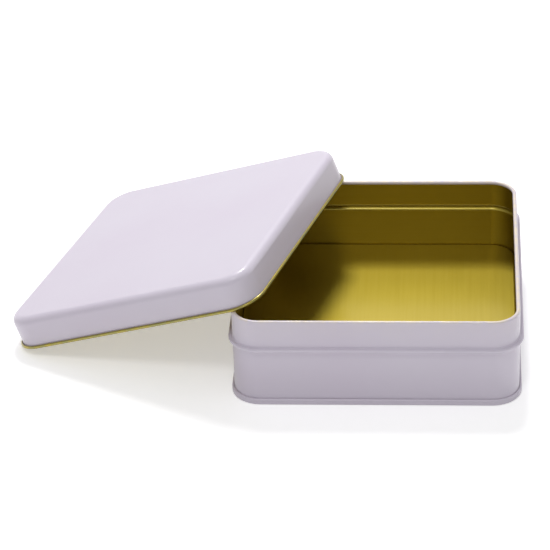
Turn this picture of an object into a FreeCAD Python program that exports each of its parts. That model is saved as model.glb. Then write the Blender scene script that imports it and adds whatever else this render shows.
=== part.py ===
import FreeCAD, Part
import Sketcher
import math
import operator
import os

# A square slip-lid tin of thin painted sheet. The base stands on its folded bottom seam, with the
# origin under its middle, X to the right, Y to the back and Z up. The lid is off: the curl of its
# left side stands on the ground, and the curl of its front side leans on the base's left rim.

doc = FreeCAD.newDocument("CandyTin")
sheet = doc.addObject("Spreadsheet::Sheet", "dims")

# Millimetres, and degrees for lidTurn.
drivingSizes = [
    ("tinWidth", 150, "outside of the walls, left to right"),
    ("tinDepth", 150, "outside of the walls, front to back"),
    ("tinHeight", 50.5, "ground to the top of the rim"),
    ("cornerRadius", 14.5, "outside of the walls' upright corners"),
    ("sheetGauge", 0.3, "thickness of the sheet"),
    ("rimRadius", 1.1, "outside of the rim's inward curl"),
    ("beadHeight", 33.6, "ground to the middle of the stop bead's nose"),
    ("beadReach", 2.1, "how far the stop bead stands out of the walls"),
    ("noseRadius", 1, "outside of the stop bead's nose"),
    ("shelfBend", 0.6, "bend between the neck and the bead's shelf"),
    ("slopeDrop", 2.8, "bead's nose down to the end of the slope under it"),
    ("slopeBend", 1.5, "bend between that slope and the lower wall"),
    ("seamHeight", 3.4, "ground to the top of the bottom seam"),
    ("seamReach", 1.3, "how far the bottom seam stands out of the walls"),
    ("seamBend", 0.4, "inside of the seam's bends"),
    ("seamSlack", 0.05, "air between the layers of the seam"),
    ("seamMouth", 0.15, "groove between the seam's lip and the wall"),
    ("footBend", 0.3, "bend of the wall's foot inside the seam"),
    ("floorHeight", 9.4, "ground to the floor inside the tin"),
    ("floorBend", 1.5, "floor's edge, where it turns down along the wall"),
    ("lidSlack", 0.25, "air between the neck and the lid's skirt"),
    ("lidHeight", 18.2, "lid's top to the bottom of its curl"),
    ("lidEdge", 4.5, "outside bend between the lid's top and its skirt"),
    ("lidCurl", 0.9, "outside of the lid's curl"),
    ("panelLap", 1, "flat rim that each formed edge has around its panel"),
    ("lidTurn", 17, "how far the lid lies turned from the base, seen from above"),
    ("footReach", 101, "base's left wall to the middle of the lid's edge on the ground"),
    ("footShift", 45.7, "middle of that edge, to the back of the base's middle"),
    ("restGap", 0.05, "air left where the lid rests on the rim"),
]
for row, (alias, value, meaning) in enumerate(drivingSizes, start=1):
    sheet.set(f"A{row}", meaning)
    sheet.set(f"B{row}", str(value))
    sheet.setAlias(f"B{row}", alias)
doc.recompute()


class Size:
    # A length together with the formula that binds it to the sheet.

    operations = {"+": operator.add, "-": operator.sub, "*": operator.mul, "/": operator.truediv}

    def __init__(self, value, formula):
        self.value = value
        self.formula = formula

    def joined(self, sign, other):
        if not isinstance(other, Size):
            other = Size(other, str(other))
        value = self.operations[sign](self.value, other.value)
        return Size(value, f"({self.formula} {sign} {other.formula})")

    def __add__(self, other):
        return self.joined("+", other)

    def __sub__(self, other):
        return self.joined("-", other)

    def __mul__(self, other):
        return self.joined("*", other)

    def __truediv__(self, other):
        return self.joined("/", other)


def size(alias):
    return Size(float(sheet.get(alias)), f"dims.{alias}")


gauge = size("sheetGauge")
wallSide = size("tinWidth") / 2


# Bodies, sketches and constraints.

def originPlane(body, role):
    return [feature for feature in body.Origin.OriginFeatures if feature.Role == role][0]


def newSketch(body, name, role):
    sketch = body.newObject("Sketcher::SketchObject", name)
    sketch.AttachmentSupport = (originPlane(body, role), [""])
    sketch.MapMode = "FlatFace"
    return sketch


def bind(sketch, length, kind, *places):
    index = sketch.addConstraint(Sketcher.Constraint(kind, *places, length.value))
    sketch.setExpression(f"Constraints[{index}]", length.formula)


def bindPoint(sketch, geometry, point, across, up):
    bind(sketch, across, "DistanceX", -1, 1, geometry, point)
    bind(sketch, up, "DistanceY", -1, 1, geometry, point)


def link(sketch, kind, *places):
    sketch.addConstraint(Sketcher.Constraint(kind, *places))


def roundedRectangle(sketch, width, depth, corner):
    # Four straight sides and four quarter arcs about the origin, all the way round.
    halfWidth = width.value / 2
    halfDepth = depth.value / 2
    radius = corner.value
    flatX = halfWidth - radius
    flatY = halfDepth - radius
    centres = [(flatX, flatY), (-flatX, flatY), (-flatX, -flatY), (flatX, -flatY)]
    sides = []
    arcs = []
    for quarter, (centreX, centreY) in enumerate(centres):
        start = math.radians(90 * quarter)
        end = math.radians(90 * quarter + 90)
        startPoint = FreeCAD.Vector(centreX + radius * math.cos(start), centreY + radius * math.sin(start))
        beforeX, beforeY = centres[quarter - 1]
        sideStart = FreeCAD.Vector(beforeX + radius * math.cos(start), beforeY + radius * math.sin(start))
        sides.append(sketch.addGeometry(Part.LineSegment(sideStart, startPoint)))
        circle = Part.Circle(FreeCAD.Vector(centreX, centreY), FreeCAD.Vector(0, 0, 1), radius)
        arcs.append(sketch.addGeometry(Part.ArcOfCircle(circle, start, end)))
    for quarter in range(4):
        link(sketch, "Tangent", sides[quarter], 2, arcs[quarter], 1)
        link(sketch, "Tangent", arcs[quarter - 1], 2, sides[quarter], 1)
        link(sketch, "Horizontal" if quarter % 2 else "Vertical", sides[quarter])
    for arc in arcs[1:]:
        link(sketch, "Equal", arcs[0], arc)
    bind(sketch, corner, "Radius", arcs[0])
    link(sketch, "Symmetric", sides[0], 1, sides[2], 1, -1, 1)
    bind(sketch, width, "DistanceX", sides[2], 1, sides[0], 1)
    bind(sketch, depth, "DistanceY", sides[3], 1, sides[1], 1)


class Bend:
    # One bend of the sheet, as two arcs on one centre. radii belong to the sheet's first and
    # second face, and the sheet runs from the angle start to the angle end.

    def __init__(self, across, up, radii, start, end):
        self.across = across
        self.up = up
        self.radii = radii
        self.start = start
        self.end = end

    def draw(self, sketch, face):
        centre = FreeCAD.Vector(self.across.value, self.up.value)
        circle = Part.Circle(centre, FreeCAD.Vector(0, 0, 1), self.radii[face].value)
        low, high = sorted([math.radians(self.start), math.radians(self.end)])
        arc = sketch.addGeometry(Part.ArcOfCircle(circle, low, high))
        bind(sketch, self.radii[face], "Radius", arc)
        return arc

    def point(self, face, angle):
        turned = math.radians(angle)
        radius = self.radii[face].value
        return FreeCAD.Vector(self.across.value + radius * math.cos(turned),
                              self.up.value + radius * math.sin(turned))

    def firstPoint(self):
        return 1 if self.end > self.start else 2

    def lastPoint(self):
        return 3 - self.firstPoint()


def sheetSection(sketch, startAcross, bends, endAcross=None):
    # The outline of a bent strip of sheet. It starts level at startAcross, runs straight from each
    # bend to the next, and ends level at endAcross or, without one, where its last bend ends.
    startLines = []
    lastEnds = []
    arcsOfFaces = []
    for face in range(2):
        arcs = [bend.draw(sketch, face) for bend in bends]
        arcsOfFaces.append(arcs)
        firstBend = bends[0]
        lastBend = bends[-1]
        reached = firstBend.point(face, firstBend.start)
        flat = Part.LineSegment(FreeCAD.Vector(startAcross.value, reached.y), reached)
        startLines.append(sketch.addGeometry(flat))
        link(sketch, "Horizontal", startLines[face])
        link(sketch, "Tangent", startLines[face], 2, arcs[0], firstBend.firstPoint())
        for index in range(1, len(bends)):
            before = bends[index - 1]
            after = bends[index]
            run = Part.LineSegment(before.point(face, before.end), after.point(face, after.start))
            line = sketch.addGeometry(run)
            link(sketch, "Tangent", arcs[index - 1], before.lastPoint(), line, 1)
            link(sketch, "Tangent", line, 2, arcs[index], after.firstPoint())
        if endAcross is None:
            lastEnds.append((arcs[-1], lastBend.lastPoint()))
            link(sketch, "Vertical", arcs[-1], lastBend.lastPoint(), arcs[-1], 3)
        else:
            left = lastBend.point(face, lastBend.end)
            flat = Part.LineSegment(left, FreeCAD.Vector(endAcross.value, left.y))
            line = sketch.addGeometry(flat)
            link(sketch, "Horizontal", line)
            link(sketch, "Tangent", arcs[-1], lastBend.lastPoint(), line, 1)
            lastEnds.append((line, 2))
    for bend, first, second in zip(bends, *arcsOfFaces):
        bindPoint(sketch, first, 3, bend.across, bend.up)
        link(sketch, "Coincident", first, 3, second, 3)
    closeEnd(sketch, (startLines[0], 1), (startLines[1], 1))
    bind(sketch, startAcross, "DistanceX", -1, 1, startLines[0], 1)
    link(sketch, "Vertical", startLines[0], 1, startLines[1], 1)
    closeEnd(sketch, *lastEnds)
    if endAcross is not None:
        bind(sketch, endAcross, "DistanceX", -1, 1, *lastEnds[0])
        link(sketch, "Vertical", *lastEnds[0], *lastEnds[1])


def closeEnd(sketch, first, second):
    cut = Part.LineSegment(sketch.getPoint(*first), sketch.getPoint(*second))
    line = sketch.addGeometry(cut)
    link(sketch, "Coincident", line, 1, *first)
    link(sketch, "Coincident", line, 2, *second)


def sweepRound(body, name, section, width, depth, corner):
    path = newSketch(body, name + "Path", "XY_Plane")
    roundedRectangle(path, width, depth, corner)
    pipe = body.newObject("PartDesign::AdditivePipe", name)
    pipe.Profile = section
    pipe.Spine = path
    return pipe


def panel(body, name, width, depth, corner, topHeight):
    outline = newSketch(body, name + "Outline", "XY_Plane")
    outline.setExpression("AttachmentOffset.Base.z", (topHeight - gauge).formula)
    roundedRectangle(outline, width, depth, corner)
    pad = body.newObject("PartDesign::Pad", name)
    pad.Profile = outline
    pad.setExpression("Length", gauge.formula)
    return pad


# The base's wall: the curled rim, the neck, the stop bead, the lower wall and the foot that the
# bottom seam grips, all one strip of sheet.

def beadSlopeAngle(nose, below):
    # The direction square to the straight slope that touches the nose and the bend below it.
    gapX = below.across.value - nose.across.value
    gapZ = below.up.value - nose.up.value
    touching = (nose.radii[0].value + below.radii[0].value) / math.hypot(gapX, gapZ)
    return math.degrees(math.atan2(gapZ, gapX) + math.acos(touching))


def wallBends():
    footRadius = size("footBend")
    flangeTop = (size("seamHeight") + gauge) / 2
    foot = Bend(wallSide + footRadius, flangeTop + footRadius,
                (footRadius, footRadius + gauge), 270, 180)
    slopeRadius = size("slopeBend")
    below = Bend(wallSide + slopeRadius, size("beadHeight") - size("slopeDrop"),
                 (slopeRadius, slopeRadius + gauge), 180, 180)
    noseRadius = size("noseRadius")
    nose = Bend(wallSide + size("beadReach") - noseRadius, size("beadHeight"),
                (noseRadius, noseRadius - gauge), 0, 90)
    slopeAngle = beadSlopeAngle(nose, below)
    below.end = 180 + slopeAngle
    nose.start = slopeAngle
    shelfRadius = size("shelfBend")
    shelf = Bend(wallSide + shelfRadius, size("beadHeight") + noseRadius + shelfRadius,
                 (shelfRadius, shelfRadius + gauge), 270, 180)
    rimRadius = size("rimRadius")
    rim = Bend(wallSide - rimRadius, size("tinHeight") - rimRadius,
               (rimRadius, rimRadius - gauge), 0, 270)
    return [foot, below, nose, shelf, rim]


def makeWall():
    body = doc.addObject("PartDesign::Body", "body_wall")
    section = newSketch(body, "wallSection", "XZ_Plane")
    flangeEnd = wallSide + size("seamReach") - gauge - size("seamSlack")
    sheetSection(section, flangeEnd, wallBends())
    sweepRound(body, "wallStrip", section, size("tinWidth"), size("tinDepth"), size("cornerRadius"))
    return body


# The bottom: a raised floor whose edge turns down inside the wall, and the seam that folds round
# the wall's foot.

def bottomBends():
    floorSide = wallSide - gauge - size("seamSlack")
    floorRadius = size("floorBend")
    shoulder = Bend(floorSide - floorRadius, size("floorHeight") - floorRadius,
                    (floorRadius, floorRadius - gauge), 90, 0)
    seamRadius = size("seamBend")
    folded = (seamRadius, seamRadius + gauge)
    lowBend = Bend(floorSide + seamRadius, gauge + seamRadius, folded, 180, 270)
    outerAcross = wallSide + size("seamReach") - gauge - seamRadius
    outerBend = Bend(outerAcross, gauge + seamRadius, folded, 270, 360)
    lipBend = Bend(outerAcross, size("seamHeight") - gauge - seamRadius, folded, 0, 90)
    return [shoulder, lowBend, outerBend, lipBend]


def makeBottom():
    body = doc.addObject("PartDesign::Body", "bottom_panel")
    inset = gauge + size("seamSlack") + size("floorBend") + size("panelLap")
    section = newSketch(body, "bottomSection", "XZ_Plane")
    sheetSection(section, wallSide - inset, bottomBends(), wallSide + size("seamMouth"))
    sweepRound(body, "bottomEdge", section, size("tinWidth"), size("tinDepth"), size("cornerRadius"))
    panel(body, "floorPanel", size("tinWidth") - inset * 2, size("tinDepth") - inset * 2,
          size("cornerRadius") - inset, size("floorHeight"))
    return body


# The lid: a flat top with a soft edge, a skirt that slips over the neck, and a curl that rolls
# outward at the skirt's foot, so that the inside of the sheet shows on it.

lidGrowth = size("lidSlack") + gauge
lidSide = wallSide + lidGrowth
curlAcross = lidSide - gauge + size("lidCurl")


def lidBends():
    edgeRadius = size("lidEdge")
    edge = Bend(lidSide - edgeRadius, size("lidHeight") - edgeRadius,
                (edgeRadius, edgeRadius - gauge), 90, 0)
    curlRadius = size("lidCurl")
    curl = Bend(curlAcross, curlRadius, (curlRadius - gauge, curlRadius), 180, 450)
    return [edge, curl]


def makeLid():
    body = doc.addObject("PartDesign::Body", "lid")
    width = size("tinWidth") + lidGrowth * 2
    depth = size("tinDepth") + lidGrowth * 2
    corner = size("cornerRadius") + lidGrowth
    inset = size("lidEdge") + size("panelLap")
    section = newSketch(body, "lidSection", "XZ_Plane")
    sheetSection(section, lidSide - inset, lidBends())
    sweepRound(body, "lidSkirt", section, width, depth, corner)
    panel(body, "lidPanel", width - inset * 2, depth - inset * 2, corner - inset, size("lidHeight"))
    return body


# Where the lid lies.

def loopWire(halfWidth, halfDepth, corner, height):
    flatX = halfWidth - corner
    flatY = halfDepth - corner
    up = FreeCAD.Vector(0, 0, 1)
    edges = []
    for quarter, (signX, signY) in enumerate([(1, 1), (-1, 1), (-1, -1), (1, -1)]):
        centre = FreeCAD.Vector(signX * flatX, signY * flatY, height)
        edges.append(Part.makeCircle(corner, centre, up, 90 * quarter, 90 * quarter + 90))
    sides = []
    for quarter in range(4):
        sides.append(Part.makeLine(edges[quarter - 1].lastVertex().Point,
                                   edges[quarter].firstVertex().Point))
    return Part.makeCompound(edges + sides)


def lidPlacement(lean):
    # The lid leaned by this angle about its left side, whose curl stands on the ground.
    spin = FreeCAD.Rotation(FreeCAD.Vector(0, 0, 1), -size("lidTurn").value)
    tilt = FreeCAD.Rotation(FreeCAD.Vector(0, 1, 0), -lean)
    turn = spin.multiply(tilt)
    standing = turn.multVec(FreeCAD.Vector(-curlAcross.value, 0, size("lidCurl").value))
    foot = FreeCAD.Vector(-wallSide.value - size("footReach").value, size("footShift").value,
                          size("lidCurl").value)
    return FreeCAD.Placement(foot - standing, turn)


def lidRest():
    # Lowers the lid until its curl is restGap above the rim.
    coarseStep = 1
    fineStep = 1e-6
    rimRadius = size("rimRadius").value
    curlRadius = size("lidCurl").value
    rim = loopWire(wallSide.value - rimRadius, size("tinDepth").value / 2 - rimRadius,
                   size("cornerRadius").value - rimRadius, size("tinHeight").value - rimRadius)
    growth = (lidGrowth - gauge + size("lidCurl")).value
    curl = loopWire(wallSide.value + growth, size("tinDepth").value / 2 + growth,
                    size("cornerRadius").value + growth, curlRadius)
    touching = rimRadius + curlRadius + size("restGap").value

    def clears(lean):
        moved = curl.copy()
        moved.Placement = lidPlacement(lean)
        return moved.distToShape(rim)[0] > touching

    steepest = 60
    high = steepest
    while clears(high - coarseStep):
        high -= coarseStep
    low = high - coarseStep
    while high - low > fineStep:
        middle = (low + high) / 2
        if clears(middle):
            high = middle
        else:
            low = middle
    return high


wall = makeWall()
bottom = makeBottom()
lid = makeLid()
doc.recompute()
lean = lidRest()
lid.Placement = lidPlacement(lean)
doc.recompute()
print(f"lid leans {lean:.3f} degrees, placed at {lid.Placement.Base}")

for item in doc.Objects:
    if "Invalid" in item.State or "Error" in item.State:
        raise RuntimeError(f"{item.Label} failed: {item.State}")
os.makedirs("parts", exist_ok=True)
for body in (wall, bottom, lid):
    shape = body.Shape
    if shape.isNull() or not shape.isValid() or len(shape.Solids) != 1:
        raise RuntimeError(f"{body.Label} isn't one valid solid")
    print(f"{body.Label}: {shape.Volume:.1f} mm3, {shape.Area:.0f} mm2, {len(shape.Faces)} faces")
    shape.exportStep(f"parts/{body.Label}.step")
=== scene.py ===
import bpy
import math
from mathutils import Matrix, Vector


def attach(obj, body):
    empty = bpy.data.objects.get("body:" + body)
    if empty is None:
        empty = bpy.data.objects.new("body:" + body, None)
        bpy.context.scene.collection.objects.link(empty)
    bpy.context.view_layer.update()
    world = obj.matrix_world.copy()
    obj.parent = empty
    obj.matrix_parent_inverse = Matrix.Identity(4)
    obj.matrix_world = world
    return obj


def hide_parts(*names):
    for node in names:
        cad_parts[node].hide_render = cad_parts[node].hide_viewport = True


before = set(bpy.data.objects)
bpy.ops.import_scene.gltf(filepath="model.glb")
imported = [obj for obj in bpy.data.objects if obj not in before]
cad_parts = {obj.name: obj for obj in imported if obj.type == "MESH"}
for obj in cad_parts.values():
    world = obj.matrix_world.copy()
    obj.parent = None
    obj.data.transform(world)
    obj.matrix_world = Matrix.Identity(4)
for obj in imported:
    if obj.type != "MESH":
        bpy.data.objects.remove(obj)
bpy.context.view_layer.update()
print("frame loaded:", ", ".join(sorted(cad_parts)))


# Camera: looks down on the base from the front, a little from its right, from far off.
cameraValues = {
    "turn": -4.689,         # degrees round the base
    "tilt": 31.1,           # degrees down
    "roll": 2.302,
    "lens": 171.55,         # mm
    "sensor": 36.0,         # mm wide
    "aside": 0.056112,      # base's middle, right of the view's axis
    "above": -0.030951,     # and above it
    "distance": 1.43469,
}


def makeCamera(values):
    turn = math.radians(values["turn"])
    tilt = math.radians(values["tilt"])
    roll = math.radians(values["roll"])
    level = Vector((math.cos(turn), -math.sin(turn), 0))
    ahead = Vector((math.sin(turn), math.cos(turn), 0))
    forward = math.cos(tilt) * ahead - Vector((0, 0, math.sin(tilt)))
    upright = level.cross(forward)
    spot = -values["aside"] * level - values["above"] * upright - values["distance"] * forward
    right = math.cos(roll) * level - math.sin(roll) * upright
    up = math.sin(roll) * level + math.cos(roll) * upright
    data = bpy.data.cameras.new("camera")
    data.sensor_width = values["sensor"]
    data.lens = values["lens"]
    camera = bpy.data.objects.new("camera", data)
    bpy.context.collection.objects.link(camera)
    axes = Matrix((right, up, -forward)).transposed()
    camera.matrix_world = Matrix.Translation(spot) @ axes.to_4x4()
    bpy.context.scene.camera = camera
    return camera


makeCamera(cameraValues)
print("camera placed")


# Node trees.

def addNode(tree, kind, **settings):
    node = tree.nodes.new(kind)
    for name, value in settings.items():
        setattr(node, name, value)
    return node


def setInputs(node, values):
    for name, value in values.items():
        node.inputs[name].default_value = value
    return node


def addSockets(tree, direction, sockets):
    for title, kind in sockets.items():
        tree.interface.new_socket(name=title, in_out=direction, socket_type="NodeSocket" + kind)


# The form that all three sheets share: a profile swept round a square with round corners, with or
# without a flat panel inside it.

formValues = {
    "startShare": 1e-5,     # how much of the profile counts as its inner end
    "weldGap": 1e-6,        # points nearer than this become one
    "bendStep": 7.5,        # degrees from point to point on a bend
    "sharpAngle": 35,       # degrees, where the shading breaks
    "normalWeight": 100,
}


def makeFormTree():
    tree = bpy.data.node_groups.new("sheetForm", "GeometryNodeTree")
    addSockets(tree, "INPUT", {
        "Geometry": "Geometry",
        "Profile": "Object",
        "Width": "Float",
        "Depth": "Float",
        "Corner Radius": "Float",
        "Corner Steps": "Int",
        "Panel": "Bool",
        "Panel Height": "Float",
        "Wear Centre": "Float",
        "Wear Width": "Float",
        "Paint Below": "Bool",
        "Paint": "Material",
    })
    addSockets(tree, "OUTPUT", {"Geometry": "Geometry"})
    link = tree.links.new
    given = addNode(tree, "NodeGroupInput")
    made = addNode(tree, "NodeGroupOutput")

    square = addNode(tree, "GeometryNodeCurvePrimitiveQuadrilateral", mode="RECTANGLE")
    link(given.outputs["Width"], square.inputs["Width"])
    link(given.outputs["Depth"], square.inputs["Height"])
    rounded = addNode(tree, "GeometryNodeFilletCurve", mode="POLY")
    link(square.outputs["Curve"], rounded.inputs["Curve"])
    link(given.outputs["Corner Radius"], rounded.inputs["Radius"])
    link(given.outputs["Corner Steps"], rounded.inputs["Count"])
    upright = addNode(tree, "GeometryNodeSetCurveNormal", mode="Z_UP")
    link(rounded.outputs["Curve"], upright.inputs["Curve"])

    profile = addNode(tree, "GeometryNodeObjectInfo", transform_space="ORIGINAL")
    link(given.outputs["Profile"], profile.inputs["Object"])
    share = addNode(tree, "GeometryNodeSplineParameter")
    marked = addNode(tree, "GeometryNodeStoreNamedAttribute", data_type="FLOAT", domain="POINT")
    marked.inputs["Name"].default_value = "along"
    link(profile.outputs["Geometry"], marked.inputs["Geometry"])
    link(share.outputs["Factor"], marked.inputs["Value"])
    swept = addNode(tree, "GeometryNodeCurveToMesh")
    link(upright.outputs["Curve"], swept.inputs["Curve"])
    link(marked.outputs["Geometry"], swept.inputs["Profile Curve"])

    along = addNode(tree, "GeometryNodeInputNamedAttribute", data_type="FLOAT")
    along.inputs["Name"].default_value = "along"
    atStart = addNode(tree, "FunctionNodeCompare", data_type="FLOAT", operation="LESS_THAN")
    link(along.outputs["Attribute"], atStart.inputs[0])
    atStart.inputs[1].default_value = formValues["startShare"]
    border = addNode(tree, "GeometryNodeMeshToCurve")
    link(swept.outputs["Mesh"], border.inputs["Mesh"])
    link(atStart.outputs["Result"], border.inputs["Selection"])
    filled = addNode(tree, "GeometryNodeFillCurve", mode="NGONS")
    link(border.outputs["Curve"], filled.inputs["Curve"])
    height = addNode(tree, "ShaderNodeCombineXYZ")
    link(given.outputs["Panel Height"], height.inputs["Z"])
    raised = addNode(tree, "GeometryNodeTransform")
    link(filled.outputs["Mesh"], raised.inputs["Geometry"])
    link(height.outputs["Vector"], raised.inputs["Translation"])
    chosen = addNode(tree, "GeometryNodeSwitch", input_type="GEOMETRY")
    link(given.outputs["Panel"], chosen.inputs["Switch"])
    link(raised.outputs["Geometry"], chosen.inputs["True"])
    both = addNode(tree, "GeometryNodeJoinGeometry")
    link(swept.outputs["Mesh"], both.inputs["Geometry"])
    link(chosen.outputs["Output"], both.inputs["Geometry"])
    merged = addNode(tree, "GeometryNodeMergeByDistance")
    merged.inputs["Distance"].default_value = formValues["weldGap"]
    link(both.outputs["Geometry"], merged.inputs["Geometry"])
    turnedOver = addNode(tree, "GeometryNodeFlipFaces")
    link(merged.outputs["Geometry"], turnedOver.inputs["Mesh"])
    link(given.outputs["Paint Below"], turnedOver.inputs["Selection"])

    # Where the finish wears, and where light and shade are painted into its colour: a band along the
    # profile, and the sheet's own coordinates.
    aside = addNode(tree, "ShaderNodeMath", operation="SUBTRACT")
    link(along.outputs["Attribute"], aside.inputs[0])
    link(given.outputs["Wear Centre"], aside.inputs[1])
    distance = addNode(tree, "ShaderNodeMath", operation="ABSOLUTE")
    link(aside.outputs[0], distance.inputs[0])
    wear = addNode(tree, "ShaderNodeMapRange", interpolation_type="SMOOTHSTEP")
    link(distance.outputs[0], wear.inputs["Value"])
    link(given.outputs["Wear Width"], wear.inputs["From Max"])
    setInputs(wear, {"To Min": 1.0, "To Max": 0.0})
    wearAndPaintedLightNode = addNode(tree, "GeometryNodeStoreNamedAttribute", data_type="FLOAT", domain="POINT")
    wearAndPaintedLightNode.inputs["Name"].default_value = "wear"
    link(turnedOver.outputs["Mesh"], wearAndPaintedLightNode.inputs["Geometry"])
    link(wear.outputs["Result"], wearAndPaintedLightNode.inputs["Value"])
    spot = addNode(tree, "GeometryNodeInputPosition")
    placed = addNode(tree, "GeometryNodeStoreNamedAttribute", data_type="FLOAT_VECTOR", domain="POINT")
    placed.inputs["Name"].default_value = "sheet"
    link(wearAndPaintedLightNode.outputs["Geometry"], placed.inputs["Geometry"])
    link(spot.outputs["Position"], placed.inputs["Value"])

    smooth = addNode(tree, "GeometryNodeSetShadeSmooth")
    link(placed.outputs["Geometry"], smooth.inputs["Geometry"])
    real = addNode(tree, "GeometryNodeRealizeInstances")
    link(smooth.outputs["Geometry"], real.inputs["Geometry"])
    painted = addNode(tree, "GeometryNodeSetMaterial")
    link(real.outputs["Geometry"], painted.inputs["Geometry"])
    link(given.outputs["Paint"], painted.inputs["Material"])
    link(painted.outputs["Geometry"], made.inputs["Geometry"])
    return tree


formTree = makeFormTree()


def arcPoints(across, up, radius, start, end, step=formValues["bendStep"]):
    # Points on one bend, from the angle start to the angle end.
    count = max(2, round(abs(end - start) / step))
    points = []
    for index in range(count + 1):
        angle = math.radians(start + (end - start) * index / count)
        points.append((across + radius * math.cos(angle), up + radius * math.sin(angle)))
    return points


def makeProfile(name, points):
    # The sheet's painted face as an open line: across from the wall's face, and up.
    data = bpy.data.curves.new(name, "CURVE")
    data.dimensions = "2D"
    spline = data.splines.new("POLY")
    spline.points.add(len(points) - 1)
    for point, (across, up) in zip(spline.points, points):
        point.co = (across, -up, 0, 1)   # a profile's Y points down once it is swept
    profile = bpy.data.objects.new(name, data)
    bpy.context.collection.objects.link(profile)
    return profile


def plainMesh(piece):
    # Turns the piece and its modifiers into one plain mesh.
    graph = bpy.context.evaluated_depsgraph_get()
    mesh = bpy.data.meshes.new_from_object(piece.evaluated_get(graph), depsgraph=graph)
    piece.modifiers.clear()
    piece.data = mesh


def setTreeInputs(modifier, values):
    for item in modifier.node_group.interface.items_tree:
        if item.item_type == "SOCKET" and item.in_out == "INPUT" and item.name in values:
            modifier[item.identifier] = values[item.name]


def makeSheet(name, points, values, paint, lacquer, place=Matrix.Identity(4)):
    profile = makeProfile(name + "Profile", points)
    piece = bpy.data.objects.new(name, bpy.data.meshes.new(name))
    bpy.context.collection.objects.link(piece)
    form = piece.modifiers.new("form", "NODES")
    form.node_group = formTree
    setTreeInputs(form, {
        "Profile": profile,
        "Width": values["width"],
        "Depth": values["depth"],
        "Corner Radius": values["corner"],
        "Corner Steps": values["cornerSteps"],
        "Panel": "panelHeight" in values,
        "Panel Height": values.get("panelHeight", 0.0),
        "Wear Centre": values["wearCentre"],
        "Wear Width": values["wearWidth"],
        "Paint Below": values.get("paintBelow", False),
        "Paint": paint,
    })
    plainMesh(piece)
    piece.data.materials.clear()
    piece.data.materials.append(paint)
    piece.data.materials.append(lacquer)
    piece.data.polygons.foreach_set("material_index", [0] * len(piece.data.polygons))
    wall = piece.modifiers.new("thickness", "SOLIDIFY")
    wall.thickness = values["gauge"]
    wall.offset = -1
    wall.use_even_offset = True
    wall.material_offset = 1
    wall.material_offset_rim = 1
    plainMesh(piece)
    piece.data.transform(place)
    piece.data.set_sharp_from_angle(angle=math.radians(formValues["sharpAngle"]))
    normals = piece.modifiers.new("evenShading", "WEIGHTED_NORMAL")
    normals.keep_sharp = True
    normals.weight = formValues["normalWeight"]
    plainMesh(piece)
    bpy.data.objects.remove(profile)
    return piece


# Effects that the paint and the lacquer share.

def newShaderGroup(name, inputs, outputs):
    group = bpy.data.node_groups.new(name, "ShaderNodeTree")
    addSockets(group, "INPUT", inputs)
    addSockets(group, "OUTPUT", outputs)
    return group, addNode(group, "NodeGroupInput"), addNode(group, "NodeGroupOutput")


grainValues = {
    "Lines": {"Scale": 1.0, "Detail": 3.0, "Roughness": 0.6},
    "Buckle": {"Detail": 1.0, "Roughness": 0.4},
    "Skin": {"Detail": 2.0, "Roughness": 0.5},
}

wearAndPaintedLightValues = {
    "spots": {"Detail": 4.0, "Roughness": 0.65},
    "broken": {"From Min": 0.3, "From Max": 0.6},   # the spots' values from no band colour to full band colour
}


def makeGrainGroup(values):
    # Fine lines from the rolling mill, a slow buckle of the sheet, and the skin of a dried coat.
    group, given, made = newShaderGroup(
        "sheetGrain",
        {"Coordinates": "Vector", "Line Scale": "Vector", "Buckle Scale": "Float", "Skin Scale": "Float"},
        {"Lines": "Float", "Buckle": "Float", "Skin": "Float"})
    link = group.links.new
    stretched = addNode(group, "ShaderNodeVectorMath", operation="MULTIPLY")
    link(given.outputs["Coordinates"], stretched.inputs[0])
    link(given.outputs["Line Scale"], stretched.inputs[1])
    for title, detail in values.items():
        noise = addNode(group, "ShaderNodeTexNoise", noise_dimensions="3D")
        setInputs(noise, detail)
        if title == "Lines":
            link(stretched.outputs["Vector"], noise.inputs["Vector"])
        else:
            link(given.outputs["Coordinates"], noise.inputs["Vector"])
            link(given.outputs[title + " Scale"], noise.inputs["Scale"])
        link(noise.outputs["Fac"], made.inputs[title])
    return group


def makeWearAndPaintedLightGroup(values):
    # A band of wear and of painted light and shade, broken up into spots.
    group, given, made = newShaderGroup(
        "edgeWear",
        {"Coordinates": "Vector", "Band": "Float", "Spot Scale": "Float", "Amount": "Float"},
        {"Mask": "Float"})
    link = group.links.new
    spots = addNode(group, "ShaderNodeTexNoise", noise_dimensions="3D")
    setInputs(spots, values["spots"])
    link(given.outputs["Coordinates"], spots.inputs["Vector"])
    link(given.outputs["Spot Scale"], spots.inputs["Scale"])
    broken = addNode(group, "ShaderNodeMapRange")
    setInputs(broken, values["broken"])
    link(spots.outputs["Fac"], broken.inputs["Value"])
    inBand = addNode(group, "ShaderNodeMath", operation="MULTIPLY")
    link(broken.outputs["Result"], inBand.inputs[0])
    link(given.outputs["Band"], inBand.inputs[1])
    scaled = addNode(group, "ShaderNodeMath", operation="MULTIPLY", use_clamp=True)
    link(inBand.outputs[0], scaled.inputs[0])
    link(given.outputs["Amount"], scaled.inputs[1])
    link(scaled.outputs[0], made.inputs["Mask"])
    return group


sheetGrain = makeGrainGroup(grainValues)
edgeWear = makeWearAndPaintedLightGroup(wearAndPaintedLightValues)


# Materials.

paintValues = {
    "colours": ((0.712, 0.647, 0.756), (0.725, 0.669, 0.772)),      # lilac, deep and plain
    "colourBy": "Buckle",
    "wornColour": (0.93, 0.80, 0.58),   # cream: a painted highlight on the rolled rim, and primer bared by wear on the seam ring
    "wornAmount": 0.85,
    "wornScale": 180.0,
    "roughness": (0.40, 0.46),
    "metallic": 0.0,
    "coatWeight": 0.35,
    "coatRoughness": 0.16,
    "lineScale": (60.0, 60.0, 60.0),
    "buckleScale": 16.0,
    "buckleDepth": 0.00035,
    "skinScale": 1100.0,
    "skinDepth": 0.000012,
}

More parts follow.
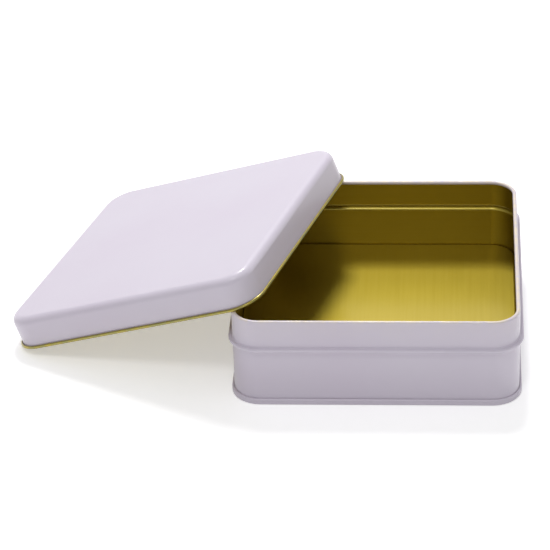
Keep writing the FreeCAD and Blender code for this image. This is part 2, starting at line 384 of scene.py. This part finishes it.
lacquerValues = {
    "colours": ((0.435, 0.335, 0.034), (0.447, 0.347, 0.040)),      # gold, deep and pale
    "colourBy": "Lines",
    "wornColour": (0.29, 0.27, 0.09),   # dull olive gold: painted shade and reflection on the lid's curl
    "wornAmount": 1.0,
    "wornScale": 240.0,
    "roughness": (0.37, 0.39),
    "metallic": 1.0,
    "coatWeight": 0.7,
    "coatRoughness": 0.2,
    "buckleScale": 13.0,
    "buckleDepth": 0.0005,
    "skinScale": 700.0,
    "skinDepth": 0.00001,
}

floorLines = {"lineScale": (900.0, 14.0, 900.0)}    # front to back
wallLines = {"lineScale": (14.0, 14.0, 900.0)}      # round the wall
noiseRange = {"From Min": 0.35, "From Max": 0.65}   # where nearly all of a noise's values lie


mixFirst, mixSecond, mixResult = 6, 7, 2            # the Mix node's colour sockets


def mixColours(tree, share, first, second):
    # first is a socket or a plain colour, and second is a plain colour.
    mix = addNode(tree, "ShaderNodeMix", data_type="RGBA")
    tree.links.new(share, mix.inputs["Factor"])
    if isinstance(first, tuple):
        mix.inputs[mixFirst].default_value = (*first, 1)
    else:
        tree.links.new(first, mix.inputs[mixFirst])
    mix.inputs[mixSecond].default_value = (*second, 1)
    return mix.outputs[mixResult]


def mapped(tree, value, low, high):
    node = addNode(tree, "ShaderNodeMapRange")
    setInputs(node, {**noiseRange, "To Min": low, "To Max": high})
    tree.links.new(value, node.inputs["Value"])
    return node.outputs["Result"]


def bumped(tree, height, depth, before=None):
    bump = addNode(tree, "ShaderNodeBump")
    setInputs(bump, {"Strength": 1.0, "Distance": depth})
    tree.links.new(height, bump.inputs["Height"])
    if before:
        tree.links.new(before, bump.inputs["Normal"])
    return bump.outputs["Normal"]


def makeFinish(name, values):
    material = bpy.data.materials.new(name)
    material.use_nodes = True
    tree = material.node_tree
    tree.nodes.clear()
    link = tree.links.new
    shader = addNode(tree, "ShaderNodeBsdfPrincipled")
    output = addNode(tree, "ShaderNodeOutputMaterial")
    link(shader.outputs["BSDF"], output.inputs["Surface"])
    sheet = addNode(tree, "ShaderNodeAttribute", attribute_name="sheet")
    wear = addNode(tree, "ShaderNodeAttribute", attribute_name="wear")

    grain = addNode(tree, "ShaderNodeGroup", node_tree=sheetGrain)
    setInputs(grain, {
        "Line Scale": values["lineScale"],
        "Buckle Scale": values["buckleScale"],
        "Skin Scale": values["skinScale"],
    })
    link(sheet.outputs["Vector"], grain.inputs["Coordinates"])
    wearAndPaintedLightNode = addNode(tree, "ShaderNodeGroup", node_tree=edgeWear)
    setInputs(wearAndPaintedLightNode, {"Spot Scale": values["wornScale"], "Amount": values["wornAmount"]})
    link(sheet.outputs["Vector"], wearAndPaintedLightNode.inputs["Coordinates"])
    link(wear.outputs["Fac"], wearAndPaintedLightNode.inputs["Band"])

    shade = mapped(tree, grain.outputs[values["colourBy"]], 0.0, 1.0)
    colour = mixColours(tree, shade, *values["colours"])
    # The band's own colour: real wear on the seam ring, a painted cream highlight on the rolled rim,
    # painted shade and reflection on the lid's curl.
    colour = mixColours(tree, wearAndPaintedLightNode.outputs["Mask"], colour, values["wornColour"])
    link(colour, shader.inputs["Base Color"])
    link(mapped(tree, grain.outputs["Lines"], *values["roughness"]), shader.inputs["Roughness"])
    normal = bumped(tree, grain.outputs["Buckle"], values["buckleDepth"])
    normal = bumped(tree, grain.outputs["Skin"], values["skinDepth"], normal)
    link(normal, shader.inputs["Normal"])
    setInputs(shader, {
        "Metallic": values["metallic"],
        "Coat Weight": values["coatWeight"],
        "Coat Roughness": values["coatRoughness"],
    })
    return material


lilacPaint = makeFinish("lilacPaint", paintValues)
wallLacquer = makeFinish("wallLacquer", {**lacquerValues, **wallLines})
floorLacquer = makeFinish("floorLacquer", {**lacquerValues, **floorLines})
print("materials made")


# The base's wall.
gauge = 0.0003
tinValues = {
    "width": 0.150,
    "depth": 0.150,
    "height": 0.0505,
    "corner": 0.0145,
    "cornerSteps": 20,
    "gauge": gauge,
    "rimRadius": 0.0011,
    "beadHeight": 0.0336,
    "beadReach": 0.0021,
    "noseRadius": 0.001,
    "shelfBend": 0.0006,
    "slopeDrop": 0.0028,
    "slopeBend": 0.0015,
    "wearCentre": 0.06,     # the rolled rim, as a share of the profile's length; its cream is a painted highlight
    "wearWidth": 0.04,
    "seamHeight": 0.0034,
    "seamReach": 0.0013,
    "seamSlack": 0.00005,
    "footBend": 0.0003,
    "footStep": 15,         # degrees from point to point
}


def wallPoints(values):
    flangeTop = (values["seamHeight"] + gauge) / 2
    foot = values["footBend"]
    below = values["slopeBend"]
    nose = values["noseRadius"]
    shelf = values["shelfBend"]
    rim = values["rimRadius"]
    noseAcross = values["beadReach"] - nose
    gapX = below - noseAcross
    gapZ = -values["slopeDrop"]
    slope = math.degrees(math.atan2(gapZ, gapX) + math.acos((nose + below) / math.hypot(gapX, gapZ)))
    return [
        *arcPoints(-rim, values["height"] - rim, rim, 270, 0),
        *arcPoints(shelf, values["beadHeight"] + nose + shelf, shelf, 180, 270),
        *arcPoints(noseAcross, values["beadHeight"], nose, 90, slope),
        *arcPoints(below, values["beadHeight"] + gapZ, below, 180 + slope, 180),
        *arcPoints(foot, flangeTop + foot, foot, 180, 270, values["footStep"]),
        (values["seamReach"] - gauge - values["seamSlack"], flangeTop),
    ]


wall = makeSheet("tinWall", wallPoints(tinValues), tinValues, lilacPaint, wallLacquer)
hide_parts("body_wall")
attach(wall, "root")
print("wall made:", len(wall.data.polygons), "faces")


# The raised floor and the seam under it.
bottomValues = {
    **tinValues,
    "floorHeight": 0.0094,
    "floorBend": 0.0015,
    "seamBend": 0.0004,
    "seamMouth": 0.00015,
    "lineDepth": 0.00012,   # the fold line round the seam
    "lineWidth": 0.0006,
    "panelLap": 0.001,
    "wearCentre": 0.7,      # the ring that the tin stands on
    "wearWidth": 0.05,
    "paintBelow": True,
}


def bottomPoints(values):
    # The painted face is the underside, so each bend is drawn on the sheet's lower face.
    floorSide = -gauge - values["seamSlack"]
    shoulder = values["floorBend"]
    seam = values["seamBend"]
    outer = values["seamReach"] - gauge - seam
    face = values["seamReach"]
    middle = values["seamHeight"] / 2
    return [
        (floorSide - shoulder - values["panelLap"], values["floorHeight"] - gauge),
        *arcPoints(floorSide - shoulder, values["floorHeight"] - shoulder, shoulder - gauge, 90, 0),
        *arcPoints(floorSide + seam, gauge + seam, seam + gauge, 180, 270),
        *arcPoints(outer, gauge + seam, seam + gauge, 270, 360),
        (face, middle - values["lineWidth"] / 2),
        (face - values["lineDepth"], middle),
        (face, middle + values["lineWidth"] / 2),
        *arcPoints(outer, values["seamHeight"] - gauge - seam, seam + gauge, 0, 90),
        (values["seamMouth"], values["seamHeight"]),
    ]


bottomValues["panelHeight"] = bottomValues["floorHeight"] - gauge
bottom = makeSheet("tinBottom", bottomPoints(bottomValues), bottomValues, lilacPaint, floorLacquer)
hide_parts("bottom_panel")
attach(bottom, "root")
print("bottom made:", len(bottom.data.polygons), "faces")


# The lid.
lidValues = {
    "slack": 0.00025,
    "gauge": gauge,
    "height": 0.0182,
    "edge": 0.0045,
    "edgeStep": 5,          # degrees from point to point
    "curl": 0.0009,
    "panelLap": 0.001,
    "cornerSteps": 20,
    "wearCentre": 0.96,     # the curl, whose gold is darkened and greyed as painted shade and reflection
    "wearWidth": 0.09,
    "turn": -17.0,
    "lean": 21.206,
}
lidGrowth = lidValues["slack"] + gauge
lidValues["width"] = tinValues["width"] + 2 * lidGrowth
lidValues["depth"] = tinValues["depth"] + 2 * lidGrowth
lidValues["corner"] = tinValues["corner"] + lidGrowth
lidValues["panelHeight"] = lidValues["height"]


def lidPoints(values):
    edge = values["edge"]
    curl = values["curl"]
    return [
        (-edge - values["panelLap"], values["height"]),
        *arcPoints(-edge, values["height"] - edge, edge, 90, 0, values["edgeStep"]),
        *arcPoints(curl - gauge, curl, curl - gauge, 180, 450),
    ]


def lidPlace(values):
    # Leaned and turned, then moved to where the CAD lid lies.
    turned = Matrix.Rotation(math.radians(values["turn"]), 4, "Z")
    leaned = Matrix.Rotation(math.radians(-values["lean"]), 4, "Y")
    turn = turned @ leaned
    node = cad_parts["lid"]
    back = turn.inverted()
    inLid = [back @ vertex.co for vertex in node.data.vertices]
    centreX = (min(point.x for point in inLid) + max(point.x for point in inLid)) / 2
    centreY = (min(point.y for point in inLid) + max(point.y for point in inLid)) / 2
    floorZ = min(point.z for point in inLid)
    return turn @ Matrix.Translation((centreX, centreY, floorZ))


lid = makeSheet("tinLid", lidPoints(lidValues), lidValues, lilacPaint, floorLacquer, lidPlace(lidValues))
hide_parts("lid")
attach(lid, "root")
print("lid made:", len(lid.data.polygons), "faces")


# Floor, light and world.
roomValues = {
    "floorColour": 0.93,
    "floorLift": 0.42,      # seen by the camera and in gloss
    "floorRadius": 2.6,
    "floorCentre": 0.0001,  # closed by one small face
    "floorSides": 64,
    "coveRadius": 0.5,
    "coveHeight": 1.3,
    "coveStep": 10,         # degrees from point to point
    "skyStrength": 0.395,
}

lampValues = {
    "key": {"round": -10.0, "up": 60.0, "distance": 1.45, "size": 0.4, "power": 11.6},
    "wide": {"round": -8.0, "up": 45.0, "distance": 1.6, "size": 1.1, "power": 1.3},
    "front": {"round": -172.0, "up": 62.0, "distance": 1.4, "size": 0.3, "power": 2.6},
}


def seenDirectly(tree):
    # 1 for the camera's own rays and for those in gloss and glass.
    path = addNode(tree, "ShaderNodeLightPath")
    gloss = addNode(tree, "ShaderNodeMath", operation="MAXIMUM")
    tree.links.new(path.outputs["Is Camera Ray"], gloss.inputs[0])
    tree.links.new(path.outputs["Is Glossy Ray"], gloss.inputs[1])
    glass = addNode(tree, "ShaderNodeMath", operation="MAXIMUM")
    tree.links.new(gloss.outputs[0], glass.inputs[0])
    tree.links.new(path.outputs["Is Transmission Ray"], glass.inputs[1])
    return glass.outputs[0]


def makeFloor(values):
    # A round floor that turns up into a low wall.
    radius = values["floorRadius"]
    cove = values["coveRadius"]
    steps = values["floorSides"]
    outline = [
        (values["floorCentre"], 0.0),
        *arcPoints(radius, cove, cove, 270, 360, values["coveStep"]),
        (radius + cove, values["coveHeight"]),
    ]
    vertices = []
    faces = []
    for across, up in outline:
        for index in range(steps):
            angle = 2 * math.pi * index / steps
            vertices.append((across * math.cos(angle), across * math.sin(angle), up))
    for row in range(len(outline) - 1):
        for index in range(steps):
            after = (index + 1) % steps
            near = row * steps
            far = near + steps
            faces.append((near + index, far + index, far + after, near + after))
    faces.append(tuple(range(steps)))
    mesh = bpy.data.meshes.new("floor")
    mesh.from_pydata(vertices, [], faces)
    mesh.shade_smooth()
    floor = bpy.data.objects.new("floor", mesh)
    bpy.context.collection.objects.link(floor)
    material = bpy.data.materials.new("floorWhite")
    material.use_nodes = True
    tree = material.node_tree
    tree.nodes.clear()
    white = addNode(tree, "ShaderNodeBsdfDiffuse")
    shade = values["floorColour"]
    white.inputs["Color"].default_value = (shade, shade, shade, 1)
    lift = addNode(tree, "ShaderNodeEmission")
    strength = addNode(tree, "ShaderNodeMath", operation="MULTIPLY")
    tree.links.new(seenDirectly(tree), strength.inputs[0])
    strength.inputs[1].default_value = values["floorLift"]
    tree.links.new(strength.outputs[0], lift.inputs["Strength"])
    both = addNode(tree, "ShaderNodeAddShader")
    tree.links.new(white.outputs[0], both.inputs[0])
    tree.links.new(lift.outputs[0], both.inputs[1])
    output = addNode(tree, "ShaderNodeOutputMaterial")
    tree.links.new(both.outputs[0], output.inputs["Surface"])
    mesh.materials.append(material)
    return floor


def makeSky(values):
    world = bpy.data.worlds.new("sky")
    world.use_nodes = True
    bpy.context.scene.world = world
    sky = world.node_tree.nodes["Background"]
    setInputs(sky, {"Color": (1, 1, 1, 1), "Strength": values["skyStrength"]})


def makeLamp(name, values):
    # round is degrees from straight behind the base, and up is degrees over the floor.
    across = math.radians(values["round"])
    up = math.radians(values["up"])
    away = Vector((math.sin(across) * math.cos(up), math.cos(across) * math.cos(up), math.sin(up)))
    data = bpy.data.lights.new(name, "AREA")
    data.shape = "DISK"
    data.size = values["size"]
    data.energy = values["power"]
    lamp = bpy.data.objects.new(name, data)
    bpy.context.collection.objects.link(lamp)
    facing = away.to_track_quat("Z", "Y").to_matrix().to_4x4()
    lamp.matrix_world = Matrix.Translation(values["distance"] * away) @ facing
    return lamp


makeFloor(roomValues)
makeSky(roomValues)
for lampName, lamp in lampValues.items():
    makeLamp(lampName, lamp)
bpy.context.scene.view_settings.view_transform = "Standard"
print("room lit")
